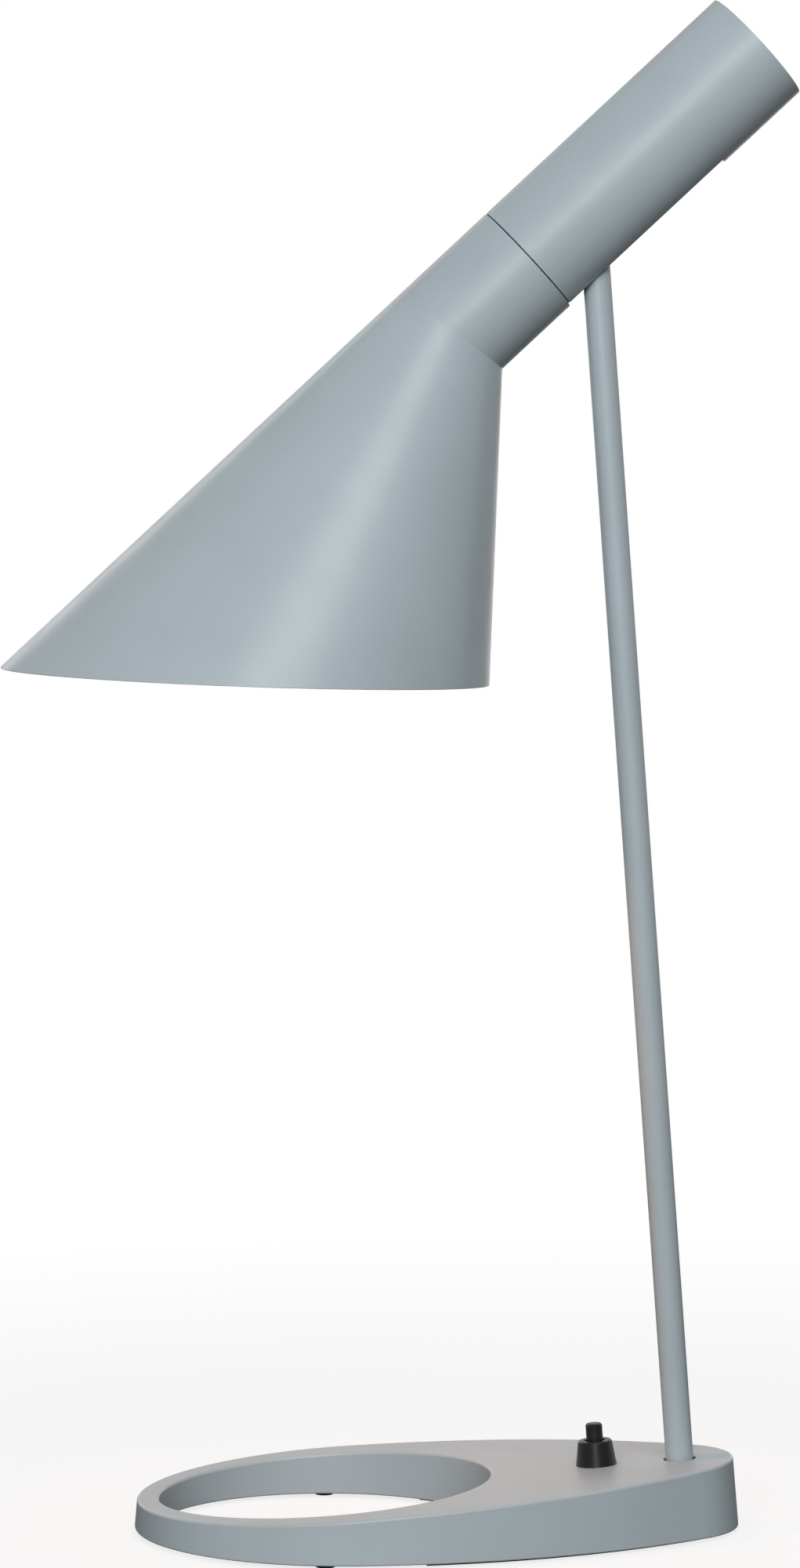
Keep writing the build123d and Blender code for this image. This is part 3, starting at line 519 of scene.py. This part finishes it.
def shade():
    """Neck and cone in one shell, painted outside and white inside.

    Each column runs from the seam edge down the outside, over the rim and back up the inside.
    """
    mesh = bmesh.new()
    outer_apex = seam_z + APEX_TO_SEAM
    inner_apex = outer_apex - SHADE_WALL / tan(CONE_HALF_ANGLE)
    inner = head_radius - SHADE_WALL
    radii = [SHADE_EDGE, CREASE_OUTSIDE, SHADE_EDGE, SHADE_EDGE, CREASE_INSIDE, SHADE_EDGE]
    lines = []
    for i in range(SHADE_COLUMNS):
        turn = 2 * pi * i / SHADE_COLUMNS
        out_seam, out_crease, out_rim = shade_line(turn, head_radius, outer_apex)
        in_seam, in_crease, in_rim = shade_line(turn, inner, inner_apex)
        start = out_seam.lerp(in_seam, 0.5)
        bends = [start, out_seam, out_crease, out_rim, in_rim, in_crease, in_seam, start]
        line = rounded(bends, radii, SHADE_EDGE_STEPS)
        lines.append([head @ p for p in line[:-1]])
    rows = loft(mesh, list(zip(*lines)), wrap=True)
    white_from = len(rows) // 2                     # middle of the rim's edge
    white_to = len(rows) - SHADE_EDGE_STEPS         # where the seam edge's rounding starts
    for index, face in enumerate(mesh.faces):
        row = index // SHADE_COLUMNS
        face.material_index = 1 if white_from <= row < white_to else 0
    return piece("shade_shell", mesh, "head", [finishes["painted_steel"], inside_white],
                 ["shade"])


def slotted_tube():
    """Tube with the long slot for the stem, on its lower side."""
    mesh = bmesh.new()
    half = SLOT_WIDTH / 2
    flat = half - SLOT_CORNER
    slot_end = seam_z + SLOT_LENGTH
    straight_end = slot_end - SLOT_CORNER
    band = slot_end + SLOT_BAND
    arcs = [flat + SLOT_CORNER * sin(pi / 2 * i / SLOT_CORNER_STEPS)
            for i in range(SLOT_CORNER_STEPS, 0, -1)]
    middle = [-flat + 2 * flat * i / SLOT_END_STEPS for i in range(SLOT_END_STEPS + 1)]
    across = [-y for y in arcs] + middle + arcs[::-1]

    def skin(radius):
        """Grid of one skin: rows from the seam end to the rear end, missing over the slot."""
        columns = []
        edge = asin(half / radius)
        for y in across:
            over = max(0.0, abs(y) - flat)
            low = straight_end + sqrt(max(0.0, SLOT_CORNER ** 2 - over ** 2))
            is_side = y in (across[0], across[-1])
            levels = [tube_low if is_side else None, low, band, tube_high]
            columns.append((pi - asin(y / radius), levels))
        first = pi - edge
        whole = 2 * pi - 2 * edge
        for i in range(1, TUBE_COLUMNS):
            turn = first - whole * i / TUBE_COLUMNS
            columns.append((turn, [tube_low, straight_end, band, tube_high]))
        grid = []
        for turn, levels in columns:
            column = []
            for z in levels:
                point = None
                if z is not None:
                    place = Vector((radius * cos(turn), radius * sin(turn), z))
                    point = mesh.verts.new(head @ place)
                column.append(point)
            grid.append(column)
        for one, two in zip(grid, grid[1:] + grid[:1]):
            for row in range(len(one) - 1):
                quad = (one[row], two[row], two[row + 1], one[row + 1])
                if None not in quad:
                    mesh.faces.new(quad)
        return grid

    outer = skin(head_radius)
    inner = skin(tube_bore)
    count = len(outer)
    cut = len(across)
    low_edge = [(k, 0) for k in range(cut - 1, count)] + [(0, 0)]
    slot_edge = [(k, 1) for k in range(cut)]
    border = low_edge + slot_edge
    for (a, i), (b, j) in zip(border, border[1:] + border[:1]):
        mesh.faces.new((outer[a][i], outer[b][j], inner[b][j], inner[a][i]))
    for a in range(count):
        b = (a + 1) % count
        mesh.faces.new((outer[a][-1], outer[b][-1], inner[b][-1], inner[a][-1]))
    return piece("rear_tube_shell", mesh, "head", [finishes["painted_steel"]],
                 ["rear_tube"], TUBE_BEVEL)


shade()
slotted_tube()


# ---------------------------------------------------------------- stem, switch, wires

stem_low, stem_high = span("stem_tube", Vector((0, 0, 0)), stem_axis)


def stem_pipe():
    """Plain tube, with softened ends."""
    inner, outer = girth("stem_tube", Vector((0, 0, 0)), stem_axis)
    profile = [(inner, stem_low), (outer, stem_low), (outer, stem_high), (inner, stem_high)]
    lathe("stem_pipe", stem, profile, "stand", "painted_steel", ["stem_tube"], STEM_BEVEL)


def collar():
    """Tapered collar whose flat top ring closes in round the button."""
    low, high = span("switch_collar", deck_point, deck_axis)
    bore, outer = girth("switch_collar", deck_point, deck_axis)
    bush_top = span("switch_body", deck_point, deck_axis)[1]
    ledge = bush_top + COLLAR_LEDGE
    top = outer - (high - low) * COLLAR_TAPER
    profile = [
        (bore, low), (outer, low), (top, high - COLLAR_CHAMFER), (top - COLLAR_CHAMFER, high),
        (COLLAR_MOUTH, high), (COLLAR_MOUTH, ledge), (bore, ledge),
    ]
    lathe("collar_shell", switch, profile, "stand", "black_plastic", ["switch_collar"],
          COLLAR_BEVEL)


def tube_along(mesh, points, radius, sides):
    """Round wire through a smooth line of points, with flat ends."""
    loops = []
    side = Vector((0, 1, 0))
    for i, point in enumerate(points):
        ahead = (points[min(i + 1, len(points) - 1)] - points[max(i - 1, 0)]).normalized()
        side = (side - ahead * side.dot(ahead)).normalized()
        up = ahead.cross(side)
        turns = [2 * pi * k / sides for k in range(sides)]
        loops.append([point + (side * cos(a) + up * sin(a)) * radius for a in turns])
    made = loft(mesh, loops)
    mesh.faces.new(made[0])
    mesh.faces.new(made[-1])


def coil():
    """Spring under the button."""
    low, high = span("switch_spring", deck_point, deck_axis)
    inner, outer = girth("switch_spring", deck_point, deck_axis)
    wire = (outer - inner) / 2
    reach = (inner + outer) / 2
    rise = high - low - 2 * wire
    steps = COIL_STEPS * SPRING_TURNS
    mesh = bmesh.new()
    line = []
    for i in range(steps + 1):
        turn = 2 * pi * SPRING_TURNS * i / steps
        height = low + wire + rise * i / steps
        line.append(switch @ Vector((reach * cos(turn), reach * sin(turn), height)))
    tube_along(mesh, line, wire, COIL_SIDES)
    spring = piece("coil_spring", mesh, "stand", [finishes["zinc_steel"]],
                   ["switch_spring"])
    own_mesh(spring)


def smooth_line(points, steps=10):
    """Catmull-Rom line through points."""
    padded = [points[0] * 2 - points[1], *points, points[-1] * 2 - points[-2]]
    line = []
    for a, b, c, d in zip(padded, padded[1:], padded[2:], padded[3:]):
        for i in range(steps):
            t = i / steps
            line.append((b * 2 + (c - a) * t + (a * 2 - b * 5 + c * 4 - d) * t ** 2
                         + (b * 3 - a - c * 3 + d) * t ** 3) / 2)
    line.append(points[-1])
    return line


def pivot_wires():
    """Two leads from the stem's top over the pivot to the lampholder."""
    mesh = bmesh.new()
    rear = span("holder_nipple", pivot, head_axis)[1]
    to_head = head.inverted()
    for side in (-1, 1):
        start = stem @ Vector((0, side * WIRE_OFFSET, stem_high))
        fold = stem @ Vector((0, side * WIRE_OFFSET, stem_high + WIRE_FOLD))
        at = to_head @ fold
        over = head @ Vector((at.x + WIRE_RISE, at.y, at.z - WIRE_FORWARD))
        end = head @ Vector((0, at.y, rear))
        tube_along(mesh, smooth_line([start, fold, over, end]), WIRE_RADIUS, WIRE_SIDES)
    wires = piece("pivot_wires", mesh, None, [finishes["lead_wire"]], ["pivot_leads"])
    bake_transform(wires)


stem_pipe()
collar()
coil()
pivot_wires()


# ---------------------------------------------------------------- studio

def ray_mask(f, *kinds):
    """1 where the ray is one of these kinds."""
    rays = f.add("ShaderNodeLightPath")
    mask = rays.outputs[f"Is {kinds[0]} Ray"]
    for kind in kinds[1:]:
        node = f.add("ShaderNodeMath", operation="MAXIMUM")
        f.join(mask, node.inputs[0])
        f.join(rays.outputs[f"Is {kind} Ray"], node.inputs[1])
        mask = node.outputs["Value"]
    return mask


def add_up(f, first, second):
    node = f.add("ShaderNodeMath", operation="ADD", use_clamp=True)
    f.join(first, node.inputs[0])
    f.join(second, node.inputs[1])
    return node.outputs["Value"]


def studio_white():
    """Desk and backdrop: white where seen, dim in the light that it throws back.

    It is clear from behind, so that the lamp can be seen from below.
    """
    f = Finish("studio_white").set(Roughness=0.9, Specular_IOR_Level=0.1)
    seen = ray_mask(f, "Camera", "Transmission")
    tone = f.blend(seen, FLOOR_BOUNCE, FLOOR_WHITE)
    f.join(tone, f.shader.inputs["Base Color"])
    away = f.add("ShaderNodeVectorMath", operation="LENGTH")
    f.join(f.place, away.inputs[0])
    seen_far = f.product(seen, f.spread(away.outputs["Value"], FLOOR_LIFT, 1, *SEEN_REACH))
    mirrored = ray_mask(f, "Glossy")
    mirrored_far = f.product(mirrored, f.spread(away.outputs["Value"], 0, 1, *MIRRORED_REACH))
    glow = f.add("ShaderNodeEmission")
    f.join(f.blend(mirrored, WHITE, BACKDROP_TINT), glow.inputs["Color"])
    mix = f.add("ShaderNodeMixShader")
    f.join(add_up(f, seen_far, mirrored_far), mix.inputs["Fac"])
    f.join(f.shader.outputs["BSDF"], mix.inputs[1])
    f.join(glow.outputs["Emission"], mix.inputs[2])
    behind = f.add("ShaderNodeNewGeometry")
    clear = f.add("ShaderNodeBsdfTransparent")
    sided = f.add("ShaderNodeMixShader")
    f.join(behind.outputs["Backfacing"], sided.inputs["Fac"])
    f.join(mix.outputs["Shader"], sided.inputs[1])
    f.join(clear.outputs["BSDF"], sided.inputs[2])
    f.join(sided.outputs["Shader"], f.tree.nodes["Material Output"].inputs["Surface"])
    return f.material


def floor():
    """Pale desk that runs back and curves up into a backdrop."""
    mesh = bmesh.new()
    profile = [(FLOOR_FRONT, 0.0), (FLOOR_BACK, 0.0)]
    for i in range(1, BEND_STEPS + 1):
        a = pi / 2 * i / BEND_STEPS
        profile.append((FLOOR_BACK + BACKDROP_BEND * sin(a), BACKDROP_BEND * (1 - cos(a))))
    profile.append((FLOOR_BACK + BACKDROP_BEND, BACKDROP_TOP))
    loops = [[Vector((-FLOOR_HALF_WIDTH, y, z)), Vector((FLOOR_HALF_WIDTH, y, z))]
             for y, z in profile]
    loft(mesh, loops, closed=False)
    mesh.faces.ensure_lookup_table()
    mesh.normal_update()
    if mesh.faces[0].normal.z < 0:
        bmesh.ops.reverse_faces(mesh, faces=mesh.faces)
    data = bpy.data.meshes.new("studio_floor")
    mesh.to_mesh(data)
    mesh.free()
    obj = bpy.data.objects.new("studio_floor", data)
    bpy.context.scene.collection.objects.link(obj)
    data.materials.append(studio_white())


def light(name, place, aim, power, tint, mirrored):
    """Area light that the camera doesn't see, and that surfaces may or may not mirror."""
    data = bpy.data.lights.new(name, "AREA")
    data.energy = power
    data.color = tint
    obj = bpy.data.objects.new(name, data)
    obj.visible_camera = False
    obj.visible_glossy = mirrored
    obj.location = place
    obj.rotation_euler = (Vector(aim) - Vector(place)).to_track_quat("-Z", "Y").to_euler()
    bpy.context.scene.collection.objects.link(obj)
    return obj


def soft_lights():
    """The studio's rectangular lights."""
    for name, place, size, power, tint, mirrored in LIGHTS:
        data = light(name, place, LIGHT_TARGET, power, tint, mirrored).data
        data.shape = "RECTANGLE"
        data.size, data.size_y = size


def lamp_spill():
    """Faint warm light of the lit lamp, from the shade's mouth onto stem and base.

    It hangs just outside the mouth and turns with the head, so it doesn't burn out the inside.
    """
    spill = light("spill", SPILL_PLACE, SPILL_AIM, SPILL_POWER, SPILL_COLOUR, False)
    spill.data.shape = "DISK"
    spill.data.size = SPILL_WIDTH
    spill.data.spread = SPILL_SPREAD
    spill.parent = frame["bodies"]["head"]


def world():
    """Surroundings: dim before the lamp, lighter behind it, and white where they are seen."""
    scene_world = bpy.data.worlds.new("studio")
    bpy.context.scene.world = scene_world
    scene_world.use_nodes = True
    tree = scene_world.node_tree

    def add(kind, **inputs):
        node = tree.nodes.new(kind)
        for key, value in inputs.items():
            node.inputs[key.replace("_", " ")].default_value = value
        return node

    place = add("ShaderNodeTexCoord")
    axes = add("ShaderNodeSeparateXYZ")
    tree.links.new(place.outputs["Generated"], axes.inputs["Vector"])
    turn_from, turn_to = WORLD_TURN
    depth = add("ShaderNodeMapRange", From_Min=turn_from, From_Max=turn_to, To_Min=WORLD_FRONT)
    tree.links.new(axes.outputs["Y"], depth.inputs["Value"])
    rays = add("ShaderNodeLightPath")
    back = add("ShaderNodeMix", A=WORLD_BACK, B=WORLD_WHITE)
    tree.links.new(rays.outputs["Is Glossy Ray"], back.inputs["Factor"])
    tree.links.new(back.outputs["Result"], depth.inputs["To Max"])
    level = add("ShaderNodeMix", B=WORLD_WHITE)
    tree.links.new(rays.outputs["Is Camera Ray"], level.inputs["Factor"])
    tree.links.new(depth.outputs["Result"], level.inputs["A"])
    background = tree.nodes["Background"]
    background.inputs["Color"].default_value = (*WHITE, 1)
    tree.links.new(level.outputs["Result"], background.inputs["Strength"])


def camera():
    """The viewing angle: at the shade's height, level but for a slight look down."""
    data = bpy.data.cameras.new("camera")
    data.lens = CAMERA_LENS
    data.sensor_width = CAMERA_SENSOR
    data.sensor_fit = "AUTO"
    obj = bpy.data.objects.new("camera", data)
    obj.location = CAMERA_PLACE
    obj.rotation_euler = (radians(90 - CAMERA_DROP), 0, radians(CAMERA_TURN))
    bpy.context.scene.collection.objects.link(obj)
    bpy.context.scene.camera = obj


floor()
world()
camera()
soft_lights()
lamp_spill()
bpy.context.scene.view_settings.view_transform = "Standard"
